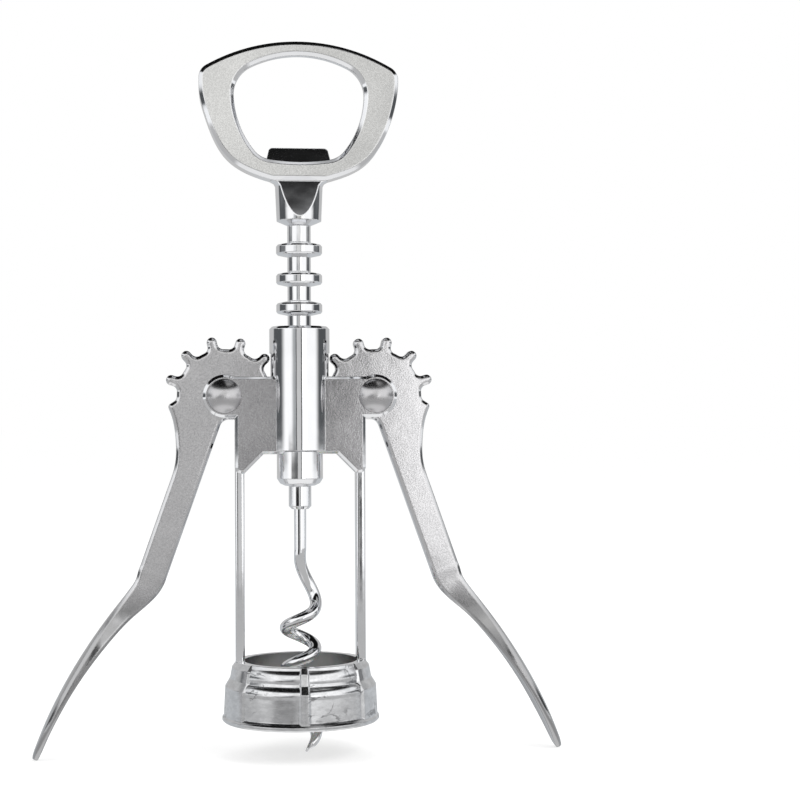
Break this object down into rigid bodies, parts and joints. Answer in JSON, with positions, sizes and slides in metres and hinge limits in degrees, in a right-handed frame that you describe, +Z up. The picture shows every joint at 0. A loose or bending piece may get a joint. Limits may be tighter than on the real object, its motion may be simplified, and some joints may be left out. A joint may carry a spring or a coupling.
{
  "type": "wing corkscrew",
  "caption": "Wing corkscrew: a bell with posts and twin plates, geared levers on a ringed rack, a coiled worm and a bow handle with a cap-lifting lip.",
  "frame": {"origin": "centre of the bell's mouth, on the axis of the worm, at the height of the bell's lower rim", "axes": "+Z up the worm's axis to the handle, -Y the front with the bevelled face of the handle, the levers spread along X"},
  "size_m": [0.1262, 0.0374, 0.1699],
  "materials": {
    "cast_chrome": "polished plating with satin flats",
    "lever_chrome": "polished plating with satin flats",
    "handle_chrome": "polished plating with satin flats",
    "rack_chrome": "polished plating",
    "rivet_chrome": "polished plating",
    "worm_steel": "polished plated wire",
    "liner_plastic": "moulded, slightly glossy"
  },
  "bodies": {
    "frame": {"frame": "cast_chrome", "bell_liner": "liner_plastic", "left_rivet": "rivet_chrome", "left_rivet_cap": "rivet_chrome", "right_rivet": "rivet_chrome", "right_rivet_cap": "rivet_chrome"},
    "left_arm": {"left_lever": "lever_chrome"},
    "right_arm": {"right_lever": "lever_chrome"},
    "rack": {"rack_sleeve": "rack_chrome"},
    "screw": {"handle": "handle_chrome", "worm": "worm_steel", "worm_ferrule": "rack_chrome"}
  },
  "joints": [
    {"name": "left_lever_pivot", "type": "hinge", "parent": "frame", "child": "left_arm", "pos_m": [-0.018, 0, 0.0772], "axis": [0, 1, 0], "range_deg": [-20, 121]},
    {"name": "right_lever_pivot", "type": "hinge", "parent": "frame", "child": "right_arm", "pos_m": [0.018, 0, 0.0772], "axis": [0, -1, 0], "range_deg": [-20, 121]},
    {"name": "rack_lift", "type": "slide", "parent": "frame", "child": "rack", "axis": [0, 0, -1], "range_m": [-0.0047, 0.0283]},
    {"name": "worm_spin", "type": "hinge", "parent": "rack", "child": "screw", "pos_m": [0, 0, 0.118], "axis": [0, 0, 1], "continuous": true}
  ],
  "couplings": [
    {"joint": "right_lever_pivot", "follows": "left_lever_pivot", "ratio": 1},
    {"joint": "rack_lift", "follows": "left_lever_pivot", "m_per_rad": 0.013369}
  ]
}
